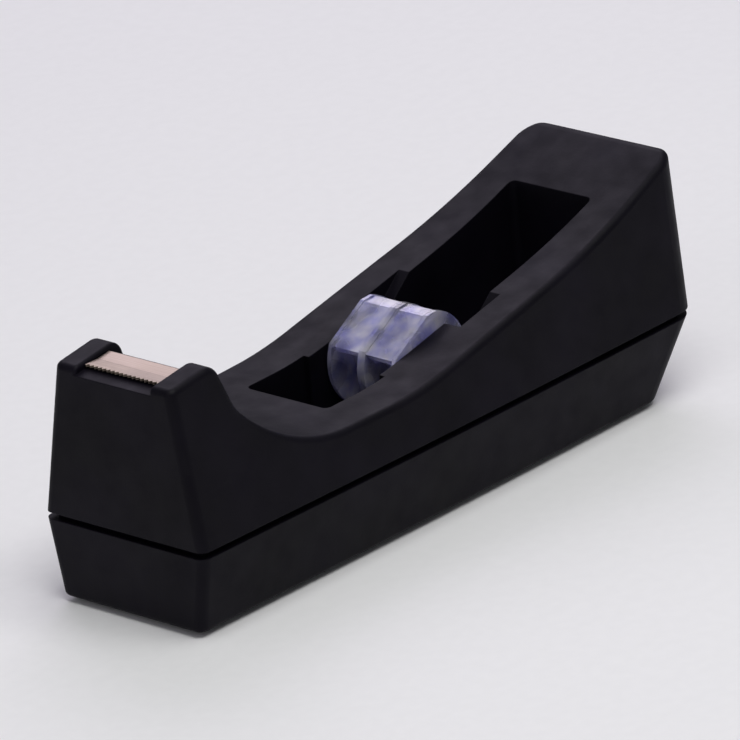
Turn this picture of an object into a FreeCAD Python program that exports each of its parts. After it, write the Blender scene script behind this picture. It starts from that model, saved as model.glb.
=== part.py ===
import FreeCAD, Part
import math
import os

# Desk tape dispenser, millimetres, +Z up.
# While modelling, X runs from the front face (0) to the rear, Y is 0 on the middle plane and
# Z is 0 on the desk. Every piece is shifted at the end so that X is 0 at mid length.
V = FreeCAD.Vector

# ---- driving dimensions -------------------------------------------------------------------
LENGTH = 165.0            # front face to the back of the crest
SPLIT_Z = 19.6            # height of the parting groove between the two shells
GROOVE = 1.5              # height of that groove
GROUND_GAP = 1.2          # the pad holds the base this far above the desk
FRONT_HALF = 23.1         # half width at the parting groove: front, middle and rear
MIDDLE_HALF = 26.2
REAR_HALF = 27.1
SIDE_BOW = 3000.0         # radius of the slight bulge of each side
FRONT_CORNER = 2.2        # plan radii of the upright corners
REAR_CORNER = 6.5
UPPER_DRAFT = 0.18        # inward lean of the sides per mm of height above the groove
LOWER_DRAFT = 0.165       # the same below the groove
FRONT_LEAN = 0.036        # backward lean of the front face above the groove
REAR_X = 160.8            # rear wall at the groove
REAR_LEAN = 0.12          # the crest overhangs
REAR_TUCK = 0.56          # the base tucks in towards the desk
LOFT_TOP = 64.0

WALL = 2.0
BASE_WALL = 2.4
FLOOR = 2.2
RIM_EDGE = 1.6            # rounding of the outer edge of the rim
FOOT_EDGE = 1.2           # rounding of the base's lower edge
CHEEK_EDGE = 0.8          # rounding of the inner edge of each cheek

# side view of the top surface: x, z, radius at each corner
TOWER_FRONT = (1.3, 55.3, 2.6)
CHEEK_PEAK = (15.4, 57.0, 3.6)
CHEEK_FOOT = (18.9, 45.6, 8.0)
SCOOP = (32.2, 31.4, 38.0)
RIM_START = (71.1, 31.4, 90.0)
RIM_RISE = (133.1, 43.7, 208.0)
CREST = (LENGTH + 0.3, 56.0, 2.8)

# tape well and the seat of the hub
WELL_HALF = 11.7
WELL_FRONT = 53.5
WELL_REAR = 144.8
WELL_CORNER = 1.5
SEAT_START = 72.5         # the walls beside the hub are thicker from here to SEAT_END
SEAT_END = 99.0
SEAT_HALF = 10.2          # half width of the well between them
TUB_WALL = 1.8
TUB_FLOOR = 5.5
HUB_X = 89.7
HUB_Z = 27.8
SLOT_ANGLE = 39.0         # the slots rise towards the rear at this angle
SLOT_LENGTH = 34.0
SLOT_HALF = 3.3
SLOT_DEPTH = 2.9
SLOT_PAD = 5.65           # wall thickness where a slot is cut
SLOT_PAD_REACH = 9.0
SLOT_MOUTH = 16.0         # the slots leave the rim this far behind the hub's axis

# blade platform between the cheeks
PLATFORM_HALF = 10.6
PLATFORM_START = (1.3, 53.6)
PLATFORM_END = (13.2, 55.1)
PLATFORM_FOOT = (21.6, 43.0)
PLATFORM_BEND = 1.2       # radius where the platform turns down to its foot
CHANNEL_REACH = 12.0      # the open channel widens by this much behind the foot
BEFORE_FRONT = -3.0       # cuts begin this far in front of the front face
BLADE_HALF = 10.4
BLADE_SHEET = 0.6
BLADE_FRONT = 4.4
BLADE_FOLD = 8.2
BLADE_LIFT = 0.55         # the front band rises this far off the platform
BLADE_BACK = 12.3
BLADE_FLANGE = 4.0
TOOTH_PITCH = 1.2
TOOTH_DEPTH = 0.6
FLANGE_FIT = 0.05         # clearance of the flange in its slot
FLANGE_ROOM = 1.2         # spare depth below the flange

# hub for a 25.4 mm core
HUB_RADIUS = 12.2
HUB_HALF = 9.6
DISC = 1.0
PLATE_FACE = 9.7          # distance of the flat plates from the axis
PLATE = 1.4
PLATE_HALF = 7.4
LIP_START = 5.8           # each plate bends down here
LIP_END = (9.0, 8.1)
RIB_PROUD = 0.3           # the discs stand this far above the plates
HUB_TILT = -29.0
SLEEVE_RADIUS = 4.7
SLEEVE_PROUD = 0.4
AXLE_RADIUS = 3.0
AXLE_FIT = 0.06
AXLE_HALF = 14.3
AXLE_CHAMFER = 0.5
PEG_RADIUS = 1.0
PEG_LENGTH = 0.7
PEG_FIT = 0.05
PEG_OFFSET = 7.3

# fasteners, ballast and pad
SCREWS = ((35.0, 14.0), (137.0, 17.7))
BOSS_RADIUS = 3.4
POST_RADIUS = 3.5
BOSS_JOIN = 10.0
SCREW_RADIUS = 1.3
SCREW_FIT = 0.05
SCREW_PASS = 0.3          # clearance where a screw passes through the base
SCREW_TOP = 21.0
PILOT_TOP = 22.5
HEAD_RADIUS = 2.5
HEAD_Z = (2.7, 4.6)
HEAD_BORE = 2.7
CROSS = (0.7, 3.2, 1.1)   # width, span and depth of the drive recess
BALLAST_Z = GROUND_GAP + FLOOR
FRONT_BALLAST = (5.0, 24.0, 15.0, 31.0)
SIDE_BALLAST = (58.0, 126.0, 14.2, 20.0, 18.5)
BALLAST_EDGE = 1.0
RIB = 1.4
RIB_HEIGHT = 4.0
PAD_INSET = 3.0
PAD_FIT = 0.1
PAD_TOP = 1.8
LIP_FIT = 0.1
LIP_WALL = 1.3
LIP_UP = 2.6
LIP_DOWN = 3.0


# ---- helpers ------------------------------------------------------------------------------
def rounded(corners, to_space):
    """Closed wire through corners (a, b, radius); a radius of 0 leaves the corner sharp."""
    count = len(corners)
    entries = []
    exits = []
    middles = []
    for i in range(count):
        a = V(corners[i - 1][0], corners[i - 1][1], 0)
        b = V(corners[i][0], corners[i][1], 0)
        c = V(corners[(i + 1) % count][0], corners[(i + 1) % count][1], 0)
        radius = corners[i][2]
        back = (a - b).normalize()
        ahead = (c - b).normalize()
        half = back.getAngle(ahead) / 2
        run = radius / math.tan(half)
        entries.append(b + back * run)
        exits.append(b + ahead * run)
        bisector = (back + ahead).normalize()
        middles.append(b + bisector * (radius / math.sin(half) - radius))
    edges = []
    for i in range(count):
        if corners[i][2] > 0:
            points = [to_space(p) for p in (entries[i], middles[i], exits[i])]
            edges.append(Part.Arc(*points).toShape())
        start = to_space(exits[i])
        end = to_space(entries[(i + 1) % count])
        edges.append(Part.LineSegment(start, end).toShape())
    return Part.Wire(edges)


def box(x0, x1, y0, y1, z0, z1):
    return Part.makeBox(x1 - x0, y1 - y0, z1 - z0, V(x0, y0, z0))


def rod(radius, start, end):
    direction = end - start
    return Part.makeCylinder(radius, direction.Length, start, direction)


def side_prism(corners, half):
    """Solid with this outline in the XZ plane, from -half to +half in Y."""
    wire = rounded(corners, lambda p: V(p.x, -half, p.y))
    return Part.Face(wire).extrude(V(0, 2 * half, 0))


def mirrored(shape):
    return shape.mirror(V(0, 0, 0), V(0, 1, 0))


# ---- outer form ---------------------------------------------------------------------------
def plan_wire(z, inset):
    """Horizontal section of the body at height z, moved inwards by inset."""
    above = z - SPLIT_Z
    if above >= 0:
        drop = UPPER_DRAFT * above
        front = FRONT_LEAN * above
        rear = REAR_X + REAR_LEAN * above
    else:
        drop = -LOWER_DRAFT * above
        front = 0.0
        rear = REAR_X + REAR_TUCK * above
    shrink = drop + inset
    front += inset
    rear -= inset
    middle = LENGTH / 2
    front_radius = max(FRONT_CORNER - inset, 0.5)
    rear_radius = max(REAR_CORNER - inset, 0.5)
    right = [(front, -(FRONT_HALF - shrink), front_radius),
             (middle, -(MIDDLE_HALF - shrink), SIDE_BOW),
             (rear, -(REAR_HALF - shrink), rear_radius)]
    left = [(x, -y, r) for x, y, r in reversed(right)]
    return rounded(right + left, lambda p: V(p.x, p.y, z))


def body(z0, z1, inset=0.0):
    """Drafted body between two heights, bent at the parting groove."""
    levels = [z0, z1]
    if z0 < SPLIT_Z < z1:
        levels = [z0, SPLIT_Z, z1]
    pieces = []
    for low, high in zip(levels, levels[1:]):
        wires = [plan_wire(low, inset), plan_wire(high, inset)]
        pieces.append(Part.makeLoft(wires, True, True))
    whole = pieces[0]
    for piece in pieces[1:]:
        whole = whole.fuse(piece)
    return whole


def top_prism(inset=0.0):
    """Everything under the top surface, lowered by inset."""
    below = -10.0
    corners = [(-5.0, below, 0), (-5.0, TOWER_FRONT[1] - 1.2, 0), TOWER_FRONT, CHEEK_PEAK,
               CHEEK_FOOT, SCOOP, RIM_START, RIM_RISE, CREST, (LENGTH + 0.3, below, 0)]
    wire = rounded(corners, lambda p: V(p.x, -40, p.y))
    if inset:
        wire = wire.makeOffset2D(-inset)
    return Part.Face(wire).extrude(V(0, 80, 0))


# ---- upper housing ------------------------------------------------------------------------
def outer_shell():
    solid = body(SPLIT_Z + GROOVE / 2, LOFT_TOP).common(top_prism())
    return round_rim(solid)


def round_rim(solid):
    """Round the long upper edges where the top surface meets the sides and the crest."""
    chosen = []
    for edge in solid.Edges:
        bounds = edge.BoundBox
        if bounds.ZMin > SPLIT_Z + GROOVE and bounds.YLength < 3.0:
            if abs(edge.CenterOfMass.y) > 10 and edge.Length > 5 and bounds.XLength > 4:
                chosen.append(edge)
    return solid.makeFillet(RIM_EDGE, chosen)


def platform_cut():
    """Channel between the cheeks: the flat under the blade and the slope behind it."""
    high = LOFT_TOP
    start = BEFORE_FRONT
    corners = [(start, platform_height(start), 0), (*PLATFORM_END, PLATFORM_BEND),
               (*PLATFORM_FOOT, 0), (PLATFORM_FOOT[0] + CHANNEL_REACH, high, 0), (start, high, 0)]
    return side_prism(corners, PLATFORM_HALF)


def flange_slot():
    x0 = BLADE_BACK - BLADE_SHEET - FLANGE_FIT
    half = BLADE_HALF + FLANGE_FIT
    z1 = PLATFORM_END[1]
    return box(x0, BLADE_BACK + FLANGE_FIT, -half, half, z1 - BLADE_FLANGE - FLANGE_ROOM,
               z1 + WALL)


def tub_block():
    x0 = WELL_FRONT - TUB_WALL
    x1 = WELL_REAR + TUB_WALL
    y = WELL_HALF + TUB_WALL
    tub = box(x0, x1, -y, y, TUB_FLOOR - TUB_WALL, LOFT_TOP)
    reach = SLOT_PAD_REACH
    pads = box(HUB_X - reach, HUB_X + SLOT_MOUTH + reach, -WELL_HALF - SLOT_PAD, WELL_HALF + SLOT_PAD,
               HUB_Z - reach, LOFT_TOP)
    return tub.fuse(pads).common(top_prism(RIM_EDGE))


def well_pocket():
    corners = [(WELL_FRONT, -WELL_HALF, WELL_CORNER), (WELL_REAR, -WELL_HALF, WELL_CORNER),
               (WELL_REAR, WELL_HALF, WELL_CORNER), (WELL_FRONT, WELL_HALF, WELL_CORNER)]
    wire = rounded(corners, lambda p: V(p.x, p.y, TUB_FLOOR))
    pocket = Part.Face(wire).extrude(V(0, 0, LOFT_TOP))
    for y0, y1 in ((-WELL_HALF - 1, -SEAT_HALF), (SEAT_HALF, WELL_HALF + 1)):
        pocket = pocket.cut(box(SEAT_START, SEAT_END, y0, y1, 0, 2 * LOFT_TOP))
    return pocket


def axle_slots():
    reach = WELL_HALF + SLOT_DEPTH
    seat = rod(SLOT_HALF, V(HUB_X, -reach, HUB_Z), V(HUB_X, reach, HUB_Z))
    track = box(HUB_X, HUB_X + SLOT_LENGTH, -reach, reach, HUB_Z - SLOT_HALF, HUB_Z + SLOT_HALF)
    track.rotate(V(HUB_X, 0, HUB_Z), V(0, 1, 0), -SLOT_ANGLE)
    return seat.fuse(track)


def screw_places():
    return [(x, side * y) for x, y in SCREWS for side in (-1, 1)]


def upper_housing():
    outer = outer_shell()
    hollow = body(SPLIT_Z - 1, LOFT_TOP, WALL).common(top_prism(WALL))
    hollow = hollow.cut(platform_floor())
    solid = outer.cut(hollow)
    solid = solid.fuse(tub_block().common(full_outer(outer)))
    for x, y in screw_places():
        boss = rod(BOSS_RADIUS, V(x, y, BOSS_JOIN), V(x, y, LOFT_TOP))
        solid = solid.fuse(boss.common(full_outer(outer)))
    for x, y in screw_places():
        solid = solid.cut(rod(SCREW_RADIUS + SCREW_FIT, V(x, y, BOSS_JOIN - 1), V(x, y, PILOT_TOP)))
    solid = solid.cut(well_pocket())
    solid = solid.cut(axle_slots())
    solid = solid.cut(platform_cut())
    solid = solid.cut(flange_slot()).removeSplitter()
    return round_cheeks(solid)


def channel_floor(x):
    """Height of the floor between the cheeks, at this x."""
    fall = (PLATFORM_END[1] - PLATFORM_FOOT[1]) / (PLATFORM_FOOT[0] - PLATFORM_END[0])
    return min(platform_height(x), PLATFORM_END[1] - fall * (x - PLATFORM_END[0]))


def round_cheeks(solid):
    """Round the inner upper edge of each cheek."""
    chosen = []
    for edge in solid.Edges:
        middle = edge.CenterOfMass
        bounds = edge.BoundBox
        on_cheek = abs(abs(middle.y) - PLATFORM_HALF) < 0.05 and bounds.YLength < 0.1
        if on_cheek and bounds.XLength > 0.3 and middle.z > channel_floor(middle.x) + 0.2:
            chosen.append(edge)
    return solid.makeFillet(CHEEK_EDGE, chosen)


def full_outer(outer):
    """The housing's outer form carried down to the desk, so that posts and tub can pass."""
    return outer.fuse(body(GROUND_GAP, SPLIT_Z + GROOVE, WALL + 2.0))


def platform_floor():
    """Material left under the blade platform and behind it, so that the wall stays whole."""
    depth = WALL + BLADE_FLANGE
    foot_x, foot_z = PLATFORM_FOOT
    corners = [(BEFORE_FRONT, PLATFORM_START[1] - depth, 0),
               (PLATFORM_END[0] - WALL, PLATFORM_END[1] - depth, 0),
               (foot_x - 1.7 * WALL, foot_z - WALL, 0), (foot_x + CHANNEL_REACH, foot_z - WALL, 0),
               (foot_x + CHANNEL_REACH, LOFT_TOP, 0), (BEFORE_FRONT, LOFT_TOP, 0)]
    return side_prism(corners, PLATFORM_HALF + WALL)


# ---- base tray ----------------------------------------------------------------------------
def base_tray():
    top = SPLIT_Z - GROOVE / 2
    solid = body(GROUND_GAP, top)
    foot = [e for e in solid.Edges if e.BoundBox.ZMax < GROUND_GAP + 0.1]
    solid = solid.makeFillet(FOOT_EDGE, foot)
    solid = solid.cut(body(GROUND_GAP + FLOOR, top + 1, BASE_WALL))
    solid = solid.fuse(locating_lip())
    for rib in ballast_ribs():
        solid = solid.fuse(rib)
    for x, y in screw_places():
        solid = solid.fuse(rod(POST_RADIUS, V(x, y, GROUND_GAP + 1), V(x, y, BOSS_JOIN)))
    for x, y in screw_places():
        solid = solid.cut(rod(SCREW_RADIUS + SCREW_PASS, V(x, y, 0), V(x, y, BOSS_JOIN + 1)))
        solid = solid.cut(rod(HEAD_BORE, V(x, y, 0), V(x, y, HEAD_Z[1])))
    return solid.cut(pad_solid(PAD_INSET - PAD_FIT, 0, PAD_TOP)).removeSplitter()


def locating_lip():
    """Ring inside the parting groove: it closes the groove and centres the upper housing."""
    low = SPLIT_Z - GROOVE / 2 - LIP_DOWN
    high = SPLIT_Z + GROOVE / 2 + LIP_UP
    inset = WALL + LIP_FIT
    return body(low, high, inset).cut(body(low - 1, high + 1, inset + LIP_WALL))


def ballast_ribs():
    z0 = GROUND_GAP + FLOOR - 0.5
    z1 = GROUND_GAP + FLOOR + RIB_HEIGHT
    x0, x1, half, _ = FRONT_BALLAST
    ribs = [box(x1, x1 + RIB, -half, half, z0, z1)]
    bar0, bar1, near, far, _ = SIDE_BALLAST
    for side in (-1, 1):
        y0, y1 = sorted((side * near, side * far))
        ribs.append(box(bar0 - RIB, bar0, y0, y1, z0, z1))
        ribs.append(box(bar1, bar1 + RIB, y0, y1, z0, z1))
        y0, y1 = sorted((side * half, side * (half + RIB)))
        ribs.append(box(x0, x1 + RIB, y0, y1, z0, z1))
    return ribs


def pad_solid(inset, z0, z1):
    outline = plan_wire(GROUND_GAP, inset)
    outline.translate(V(0, 0, z0 - GROUND_GAP))
    return Part.Face(outline).extrude(V(0, 0, z1 - z0))


# ---- blade --------------------------------------------------------------------------------
def platform_height(x):
    rise = (PLATFORM_END[1] - PLATFORM_START[1]) / (PLATFORM_END[0] - PLATFORM_START[0])
    return PLATFORM_START[1] + rise * (x - PLATFORM_START[0])


def cutter_blade():
    """Folded steel strip: raised toothed front band, flat back band and a flange in a slot."""
    front = BLADE_FRONT
    inner = BLADE_BACK - BLADE_SHEET
    low = PLATFORM_END[1] - BLADE_FLANGE
    z_front = platform_height(front) + BLADE_LIFT
    z_fold = platform_height(BLADE_FOLD)
    z_back = platform_height(BLADE_BACK)
    corners = [(front, z_front, 0), (BLADE_FOLD, z_fold, 0), (inner, platform_height(inner), 0),
               (inner, low, 0), (BLADE_BACK, low, 0), (BLADE_BACK, z_back + BLADE_SHEET, 0.5),
               (BLADE_FOLD, z_fold + BLADE_SHEET, 0), (front, z_front + BLADE_SHEET, 0)]
    strip = side_prism(corners, BLADE_HALF)
    return strip.cut(tooth_gaps(front))


def tooth_gaps(front):
    count = int(2 * BLADE_HALF / TOOTH_PITCH)
    gaps = []
    for i in range(count):
        y = (i - (count - 1) / 2) * TOOTH_PITCH
        points = [V(front - 0.1, y - TOOTH_PITCH / 2, 40), V(front + TOOTH_DEPTH, y, 40),
                  V(front - 0.1, y + TOOTH_PITCH / 2, 40)]
        face = Part.Face(Part.makePolygon(points + points[:1]))
        gaps.append(face.extrude(V(0, 0, 30)))
    return Part.makeCompound(gaps)


# ---- hub ----------------------------------------------------------------------------------
def hub_axle():
    axle = rod(AXLE_RADIUS, V(HUB_X, -AXLE_HALF, HUB_Z), V(HUB_X, AXLE_HALF, HUB_Z))
    return axle.makeChamfer(AXLE_CHAMFER, [e for e in axle.Edges if e.isClosed()])


def bracket_outline(y):
    """Cross-section of one flat plate with its sloping lip, at this y."""
    start = V(-PLATE_HALF, y, PLATE_FACE)
    corner = V(LIP_START, y, PLATE_FACE)
    end = V(LIP_END[0], y, LIP_END[1])
    slope = (end - corner).normalize()
    inner_end = end + V(slope.z, 0, -slope.x) * PLATE
    inner_corner = inner_end + slope * ((PLATE_FACE - PLATE - inner_end.z) / slope.z)
    inner_start = start - V(0, 0, PLATE)
    return Part.makePolygon([start, corner, end, inner_end, inner_corner, inner_start, start])


def hub_plates():
    """Two opposite plates between the discs, turned half way round from each other."""
    y0 = DISC - 0.1
    y1 = HUB_HALF - DISC + 0.1
    bracket = Part.Face(bracket_outline(y0)).extrude(V(0, y1 - y0, 0))
    other = bracket.copy()
    other.rotate(V(0, 0, 0), V(0, 1, 0), 180)
    return bracket.fuse(other)


def hub_disc(y0, y1):
    """Round disc trimmed a little above the plates and their lips."""
    disc = rod(HUB_RADIUS, V(0, y0, 0), V(0, y1, 0))
    slope = V(LIP_END[0] - LIP_START, 0, LIP_END[1] - PLATE_FACE).normalize()
    up = V(0, 0, 1)
    outward = V(-slope.z, 0, slope.x)
    bend = V(LIP_START, y0, PLATE_FACE) + (up + outward) * (RIB_PROUD / (1 + up.dot(outward)))
    reach = 2 * HUB_RADIUS
    corners = [bend, bend + slope * reach, bend + slope * reach + up * reach,
               bend + V(-reach, 0, reach), bend - V(reach, 0, 0), bend]
    above = Part.Face(Part.makePolygon(corners)).extrude(V(0, y1 - y0, 0))
    for turn in (0, 180):
        trim = above.copy()
        trim.rotate(V(0, 0, 0), V(0, 1, 0), turn)
        disc = disc.cut(trim)
    return disc


def hub_half_blank():
    """The half of the hub on the +Y side, about the origin."""
    sleeve = rod(SLEEVE_RADIUS, V(0, 0, 0), V(0, HUB_HALF + SLEEVE_PROUD, 0))
    half = hub_disc(0, DISC).fuse([hub_disc(HUB_HALF - DISC, HUB_HALF), sleeve, hub_plates()])
    return half.cut(rod(AXLE_RADIUS + AXLE_FIT, V(0, -1, 0), V(0, HUB_HALF + 2, 0)))


def seat_hub(shape):
    shape.rotate(V(0, 0, 0), V(0, 1, 0), HUB_TILT)
    shape.translate(V(HUB_X, 0, HUB_Z))
    return shape.removeSplitter()


def hub_half_left():
    half = hub_half_blank()
    for x in (-PEG_OFFSET, PEG_OFFSET):
        half = half.fuse(rod(PEG_RADIUS, V(x, DISC / 2, 0), V(x, -PEG_LENGTH, 0)))
    return seat_hub(half)


def hub_half_right():
    half = mirrored(hub_half_blank())
    for x in (-PEG_OFFSET, PEG_OFFSET):
        half = half.cut(rod(PEG_RADIUS + PEG_FIT, V(x, 1, 0), V(x, -PEG_LENGTH - PEG_FIT, 0)))
    return seat_hub(half)


# ---- inside -------------------------------------------------------------------------------
def ballast_front():
    x0, x1, half, top = FRONT_BALLAST
    block = box(x0, x1, -half, half, BALLAST_Z, top)
    return block.makeChamfer(BALLAST_EDGE, block.Edges)


def ballast_bar(side):
    x0, x1, near, far, top = SIDE_BALLAST
    y0, y1 = sorted((side * near, side * far))
    block = box(x0, x1, y0, y1, BALLAST_Z, top)
    return block.makeChamfer(BALLAST_EDGE, block.Edges)


def housing_screw(x, y):
    head = rod(HEAD_RADIUS, V(x, y, HEAD_Z[0]), V(x, y, HEAD_Z[1]))
    shank = rod(SCREW_RADIUS, V(x, y, HEAD_Z[1]), V(x, y, SCREW_TOP))
    screw = head.fuse(shank)
    width, span, depth = CROSS
    low = HEAD_Z[0] - 1
    high = HEAD_Z[0] + depth
    screw = screw.cut(box(x - span / 2, x + span / 2, y - width / 2, y + width / 2, low, high))
    return screw.cut(box(x - width / 2, x + width / 2, y - span / 2, y + span / 2, low, high))


def housing_screws():
    return Part.makeCompound([housing_screw(x, y) for x, y in screw_places()])


# ---- output -------------------------------------------------------------------------------
def save(name, shape):
    piece = shape.copy()
    piece.translate(V(-LENGTH / 2, 0, 0))
    piece.exportStep("parts/" + name + ".step")
    print(name, len(piece.Solids), "solids, valid", piece.isValid())


os.makedirs("parts", exist_ok=True)
save("upper_housing", upper_housing())
save("base_tray", base_tray())
save("cutter_blade", cutter_blade())
save("hub_axle", hub_axle())
save("hub_half_left", hub_half_left())
save("hub_half_right", hub_half_right())
save("ballast_front", ballast_front())
save("ballast_left", ballast_bar(1))
save("ballast_right", ballast_bar(-1))
save("housing_screws", housing_screws())
save("non_skid_pad", pad_solid(PAD_INSET, 0, PAD_TOP))
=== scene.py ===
import math

import bpy
from mathutils import Matrix, Vector

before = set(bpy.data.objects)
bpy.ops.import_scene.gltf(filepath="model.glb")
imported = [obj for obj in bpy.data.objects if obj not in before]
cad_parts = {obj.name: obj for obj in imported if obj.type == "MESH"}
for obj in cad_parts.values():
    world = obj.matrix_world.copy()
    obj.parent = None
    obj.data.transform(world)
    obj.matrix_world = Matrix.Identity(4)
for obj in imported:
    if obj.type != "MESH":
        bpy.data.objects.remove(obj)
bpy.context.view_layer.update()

MM = 0.001

# camera: where it stands, seen from the object, and how it is turned
VIEW_AZIMUTH = math.radians(-47.0)
VIEW_ELEVATION = math.radians(22.3)
VIEW_ROLL = math.radians(-5.13)
VIEW_DISTANCE = 1.704
VIEW_AIM = Vector((-0.001, 0.0008, 0.0276))
LENS = 381.0
CLIP_END = 20.0

# soft square lights: name, azimuth and elevation in degrees, distance, size, power, colour
WHITE = (1.0, 1.0, 1.0)
LIGHTS = (("key", -10, 72, 1.1, 0.8, 8.0, WHITE),
          ("back", 136, 42, 1.2, 0.8, 4.4, (0.90, 0.82, 1.0)),
          ("fill", -80, 25, 1.3, 0.9, 1.5, (0.95, 0.92, 1.0)))
SKY_COLOUR = (0.92, 0.93, 1.0, 1.0)
SKY_STRENGTH = 0.22
FLOOR_HALF = 3.0

# colours, linear
CHARCOAL = (0.0026, 0.0021, 0.0042)
CHARCOAL_LIGHT = (0.0046, 0.0036, 0.0076)
STEEL = (0.43, 0.36, 0.29)
STEEL_DARK = (0.30, 0.245, 0.19)
CLEAR = (0.90, 0.88, 0.98)
CLEAR_TINT = (0.46, 0.46, 0.88)
FOAM = (0.012, 0.012, 0.013)
FOAM_LIGHT = (0.028, 0.028, 0.030)
ZINC = (0.48, 0.47, 0.45)
ZINC_DARK = (0.33, 0.32, 0.31)
IRON = (0.10, 0.10, 0.105)
IRON_RUST = (0.15, 0.10, 0.075)
PAPER = (0.86, 0.86, 0.85)


# ---- node helpers -------------------------------------------------------------------------
class Graph:
    """A material under construction: adds nodes and joins them."""

    def __init__(self, name):
        self.material = bpy.data.materials.new(name)
        self.material.use_nodes = True
        self.tree = self.material.node_tree
        self.shader = self.tree.nodes["Principled BSDF"]
        self.place = self.tree.nodes.new("ShaderNodeTexCoord").outputs["Object"]

    def add(self, kind, inputs=None, **settings):
        node = self.tree.nodes.new(kind)
        for key, value in settings.items():
            setattr(node, key, value)
        for key, value in (inputs or {}).items():
            if isinstance(value, bpy.types.NodeSocket):
                self.tree.links.new(value, node.inputs[key])
            else:
                node.inputs[key].default_value = value
        return node

    def link(self, output, name):
        self.tree.links.new(output, self.shader.inputs[name])

    def set(self, **values):
        for key, value in values.items():
            self.shader.inputs[key.replace("_", " ")].default_value = value

    def stretched(self, scale):
        mapping = self.add("ShaderNodeMapping", {"Vector": self.place, "Scale": scale})
        return mapping.outputs["Vector"]

    def noise(self, scale, detail=2.0, vector=None):
        inputs = {"Vector": vector or self.place, "Scale": scale, "Detail": detail}
        return self.add("ShaderNodeTexNoise", inputs).outputs["Fac"]

    def cells(self, scale):
        inputs = {"Vector": self.place, "Scale": scale}
        return self.add("ShaderNodeTexVoronoi", inputs).outputs["Distance"]

    def ramp(self, value, low, high, start=0.35, end=0.65):
        """Blend of two colours as value goes from start to end."""
        node = self.add("ShaderNodeValToRGB", {"Fac": value})
        node.color_ramp.elements[0].position = start
        node.color_ramp.elements[1].position = end
        node.color_ramp.elements[0].color = (*low, 1.0)
        node.color_ramp.elements[1].color = (*high, 1.0)
        return node.outputs["Color"]

    def between(self, value, low, high):
        """Number that goes from low to high with value."""
        inputs = {"Value": value, "From Min": 0.3, "From Max": 0.7, "To Min": low, "To Max": high}
        return self.add("ShaderNodeMapRange", inputs).outputs["Result"]

    def bump(self, height, strength, depth, under=None):
        inputs = {"Height": height, "Strength": strength, "Distance": depth}
        if under:
            inputs["Normal"] = under
        return self.add("ShaderNodeBump", inputs).outputs["Normal"]

    def soft_edges(self, radius):
        return self.add("ShaderNodeBevel", {"Radius": radius}, samples=4).outputs["Normal"]


# ---- materials ----------------------------------------------------------------------------
def moulded_plastic():
    """Charcoal plastic: faint clouding, satin mottling and a fine moulded grain."""
    g = Graph("charcoal_plastic")
    clouds = g.noise(45.0, 3.0)
    g.link(g.ramp(clouds, CHARCOAL, CHARCOAL_LIGHT), "Base Color")
    g.link(g.between(g.noise(160.0, 4.0), 0.44, 0.58), "Roughness")
    edges = g.soft_edges(0.35 * MM)
    grain = g.bump(g.noise(1900.0, 2.0), 0.28, 0.05 * MM, edges)
    g.link(g.bump(g.cells(900.0), 0.10, 0.04 * MM, grain), "Normal")
    g.set(Specular_IOR_Level=0.10)
    return g.material


def brushed_steel():
    """Blade steel: fine brushed lines along the blade's width."""
    g = Graph("blade_steel")
    lines = g.noise(1.0, 3.0, g.stretched((5200.0, 45.0, 5200.0)))
    g.link(g.ramp(lines, STEEL_DARK, STEEL), "Base Color")
    g.link(g.between(lines, 0.30, 0.46), "Roughness")
    g.link(g.bump(lines, 0.25, 0.02 * MM, g.soft_edges(0.08 * MM)), "Normal")
    g.set(Metallic=1.0, Anisotropic=0.4)
    return g.material


def clear_plastic():
    """Clear hub plastic with polished faces, faint flow marks and scuffs."""
    g = Graph("clear_plastic")
    flow = g.noise(220.0, 2.0)
    g.link(g.ramp(flow, CLEAR_TINT, CLEAR), "Base Color")
    g.link(g.between(g.noise(130.0, 1.0), 0.45, 0.85), "Transmission Weight")
    g.link(g.between(g.noise(700.0, 5.0), 0.03, 0.14), "Roughness")
    g.link(g.bump(flow, 0.15, 0.06 * MM, g.soft_edges(0.2 * MM)), "Normal")
    g.set(IOR=1.5, Specular_IOR_Level=1.0)
    return g.material


def foam_rubber():
    g = Graph("foam_rubber")
    pores = g.cells(1500.0)
    g.link(g.ramp(pores, FOAM, FOAM_LIGHT, 0.1, 0.6), "Base Color")
    g.link(g.between(pores, 0.95, 0.8), "Roughness")
    g.link(g.bump(pores, 0.6, 0.15 * MM), "Normal")
    return g.material


def zinc_plate():
    g = Graph("zinc_plate")
    spangle = g.noise(900.0, 3.0)
    g.link(g.ramp(spangle, ZINC_DARK, ZINC), "Base Color")
    g.link(g.between(spangle, 0.28, 0.42), "Roughness")
    g.link(g.bump(spangle, 0.1, 0.02 * MM), "Normal")
    g.set(Metallic=1.0)
    return g.material


def cast_iron():
    g = Graph("cast_iron")
    skin = g.noise(600.0, 6.0)
    g.link(g.ramp(g.noise(90.0, 4.0), IRON, IRON_RUST, 0.5, 0.7), "Base Color")
    g.link(g.between(skin, 0.6, 0.85), "Roughness")
    g.link(g.bump(skin, 0.5, 0.2 * MM), "Normal")
    g.set(Metallic=0.7)
    return g.material


def plain_paper():
    g = Graph("floor_paper")
    fibres = g.noise(300.0, 3.0)
    g.link(g.ramp(fibres, tuple(0.985 * c for c in PAPER), PAPER), "Base Color")
    g.set(Roughness=0.9, Specular_IOR_Level=0.1)
    return g.material


def wear(node, material):
    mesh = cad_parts[node].data
    mesh.materials.clear()
    mesh.materials.append(material)


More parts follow.
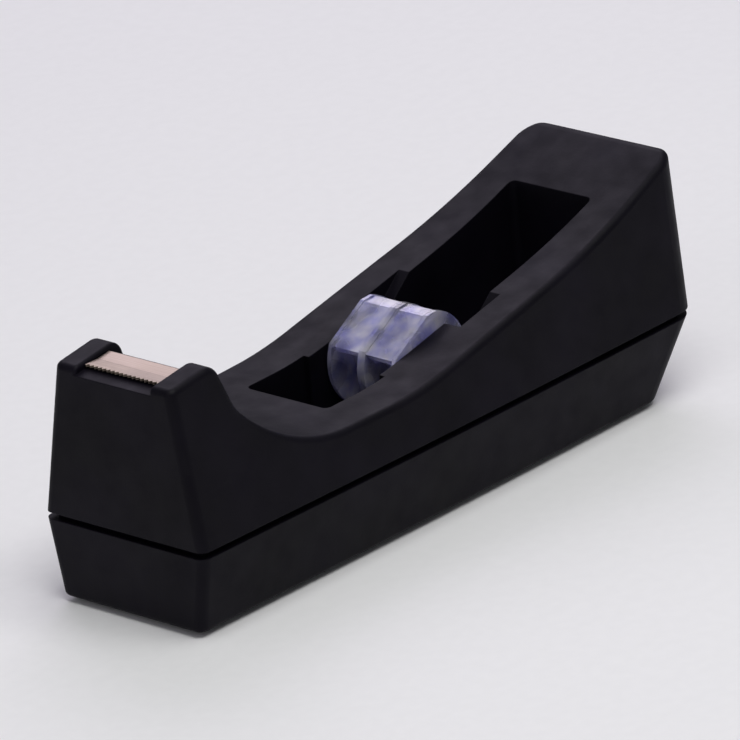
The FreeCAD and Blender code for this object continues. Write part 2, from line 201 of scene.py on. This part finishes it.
def dress_nodes():
    looks = {moulded_plastic: ("upper_housing", "base_tray"),
             brushed_steel: ("cutter_blade",),
             clear_plastic: ("hub_axle", "hub_half_left", "hub_half_right"),
             cast_iron: ("ballast_front", "ballast_left", "ballast_right"),
             zinc_plate: ("housing_screws",),
             foam_rubber: ("non_skid_pad",)}
    for make, nodes in looks.items():
        material = make()
        for node in nodes:
            wear(node, material)


# ---- stage --------------------------------------------------------------------------------
def add_floor():
    half = FLOOR_HALF
    mesh = bpy.data.meshes.new("floor")
    corners = [(-half, -half, 0), (half, -half, 0), (half, half, 0), (-half, half, 0)]
    mesh.from_pydata(corners, [], [(0, 1, 2, 3)])
    floor = bpy.data.objects.new("floor", mesh)
    bpy.context.scene.collection.objects.link(floor)
    mesh.materials.append(plain_paper())


def direction(azimuth, elevation):
    flat = math.cos(elevation)
    return Vector((math.sin(azimuth) * flat, -math.cos(azimuth) * flat, math.sin(elevation)))


def add_light(name, azimuth, elevation, distance, size, power, colour):
    """Square soft light that looks at the object from this side."""
    light = bpy.data.lights.new(name, "AREA")
    light.size = size
    light.energy = power
    light.color = colour
    holder = bpy.data.objects.new(name, light)
    away = direction(math.radians(azimuth), math.radians(elevation))
    holder.location = VIEW_AIM + away * distance
    holder.rotation_euler = away.to_track_quat("Z", "Y").to_euler()
    bpy.context.scene.collection.objects.link(holder)


def add_lights():
    for settings in LIGHTS:
        add_light(*settings)
    world = bpy.data.worlds.new("studio")
    world.use_nodes = True
    sky = world.node_tree.nodes["Background"]
    sky.inputs["Color"].default_value = SKY_COLOUR
    sky.inputs["Strength"].default_value = SKY_STRENGTH
    bpy.context.scene.world = world
    bpy.context.scene.view_settings.view_transform = "Standard"


def add_camera():
    camera = bpy.data.cameras.new("camera")
    camera.lens = LENS
    camera.clip_end = CLIP_END
    holder = bpy.data.objects.new("camera", camera)
    away = direction(VIEW_AZIMUTH, VIEW_ELEVATION)
    turn = away.to_track_quat("Z", "Y").to_matrix() @ Matrix.Rotation(VIEW_ROLL, 3, "Z")
    holder.matrix_world = Matrix.Translation(VIEW_AIM + away * VIEW_DISTANCE) @ turn.to_4x4()
    bpy.context.scene.collection.objects.link(holder)
    bpy.context.scene.camera = holder


dress_nodes()
add_floor()
add_lights()
add_camera()
